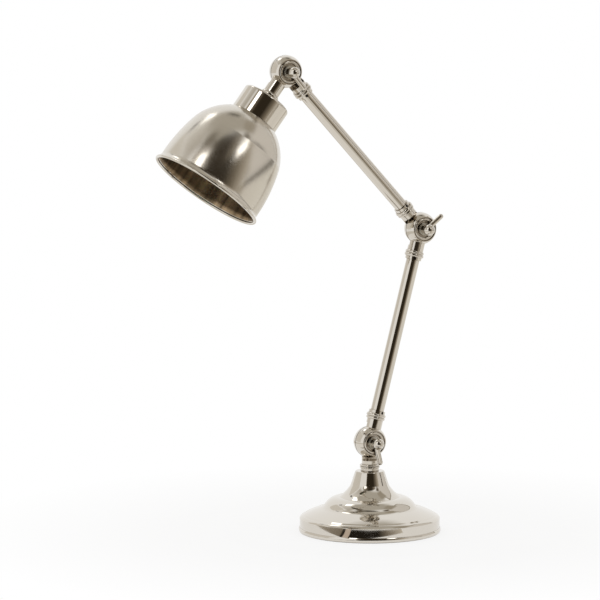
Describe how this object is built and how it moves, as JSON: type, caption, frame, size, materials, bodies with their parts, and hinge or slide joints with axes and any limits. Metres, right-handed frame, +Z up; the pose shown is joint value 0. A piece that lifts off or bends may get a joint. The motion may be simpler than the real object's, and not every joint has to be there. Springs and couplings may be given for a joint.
{
  "type": "desk lamp",
  "caption": "Nickel-plated adjustable desk lamp: round weighted base, two straight arms on clamped ball knuckles with lever keys, and a domed metal shade.",
  "frame": {"origin": "centre of the base's underside, on the surface that the lamp stands on", "axes": "+Z up, Y along the three hinge axes with the clamp keys on the -Y side, arms in the XZ plane with the shade towards -X"},
  "size_m": [0.3165, 0.1515, 0.5055],
  "materials": {
    "polished_nickel": "polished",
    "satin_nickel": "satin",
    "cast_iron": "matte",
    "zinc_steel": "satin",
    "black_steel": "matte",
    "brass": "satin",
    "black_phenolic": "satin",
    "fibre": "matte",
    "felt": "matte",
    "cable": "satin",
    "aluminium": "satin",
    "opal_glass": "satin"
  },
  "bodies": {
    "base": {"base_shell": "polished_nickel", "base_ballast": "cast_iron", "base_cover": "fibre", "base_felt": "felt", "base_cover_screws": "zinc_steel", "base_nipple": "zinc_steel", "base_nut": "zinc_steel", "base_washer": "zinc_steel", "cord_bush": "black_phenolic", "terminal_block": "black_phenolic", "terminal_screws": "brass", "base_lead": "cable", "base_knuckle": "polished_nickel", "base_friction_washer": "fibre", "base_cap_nut": "polished_nickel"},
    "base_key": {"base_key_screw": "zinc_steel", "base_key_hub": "polished_nickel", "base_key_lever": "polished_nickel", "base_key_washer": "zinc_steel"},
    "lower_arm": {"lower_arm_foot_knuckle": "polished_nickel", "lower_arm_top_knuckle": "polished_nickel", "lower_arm_tube": "polished_nickel", "lower_arm_set_screws": "black_steel", "lower_arm_lead": "cable"},
    "upper_arm": {"upper_arm_foot_knuckle": "polished_nickel", "upper_arm_top_knuckle": "polished_nickel", "upper_arm_tube": "polished_nickel", "upper_arm_set_screws": "black_steel", "upper_arm_lead": "cable", "elbow_friction_washer": "fibre", "elbow_cap_nut": "polished_nickel", "head_friction_washer": "fibre", "head_cap_nut": "polished_nickel"},
    "elbow_key": {"elbow_key_screw": "zinc_steel", "elbow_key_hub": "polished_nickel", "elbow_key_lever": "polished_nickel", "elbow_key_washer": "zinc_steel"},
    "head": {"head_knuckle": "polished_nickel", "head_nipple": "zinc_steel", "head_nut": "zinc_steel", "head_washer": "zinc_steel", "lamp_cup": "polished_nickel", "shade": "satin_nickel", "lampholder_cap": "black_phenolic", "lampholder_body": "black_phenolic", "shade_ring": "black_phenolic", "screw_shell": "brass", "centre_contact": "brass", "bulb_cap": "aluminium", "bulb_globe": "opal_glass", "head_lead": "cable"},
    "head_key": {"head_key_screw": "zinc_steel", "head_key_hub": "polished_nickel", "head_key_lever": "polished_nickel", "head_key_washer": "zinc_steel"}
  },
  "joints": [
    {"name": "base_hinge", "type": "hinge", "parent": "base", "child": "lower_arm", "pos_m": [0, 0, 0.0957], "axis": [0, 1, 0], "range_deg": [-89.8, 60.2]},
    {"name": "elbow_hinge", "type": "hinge", "parent": "lower_arm", "child": "upper_arm", "pos_m": [0.05901, 0, 0.31904], "axis": [0, -1, 0], "range_deg": [-182.6, 67.4]},
    {"name": "head_hinge", "type": "hinge", "parent": "upper_arm", "child": "head", "pos_m": [-0.09794, 0, 0.48853], "axis": [0, 1, 0], "range_deg": [-25.2, 224.8]},
    {"name": "base_key_turn", "type": "hinge", "parent": "base", "child": "base_key", "pos_m": [0, 0, 0.0957], "axis": [0, -1, 0], "range_deg": [0, 180]},
    {"name": "elbow_key_turn", "type": "hinge", "parent": "upper_arm", "child": "elbow_key", "pos_m": [0.05901, 0, 0.31904], "axis": [0, -1, 0], "range_deg": [0, 180]},
    {"name": "head_key_turn", "type": "hinge", "parent": "upper_arm", "child": "head_key", "pos_m": [-0.09794, 0, 0.48853], "axis": [0, -1, 0], "range_deg": [0, 180]}
  ]
}
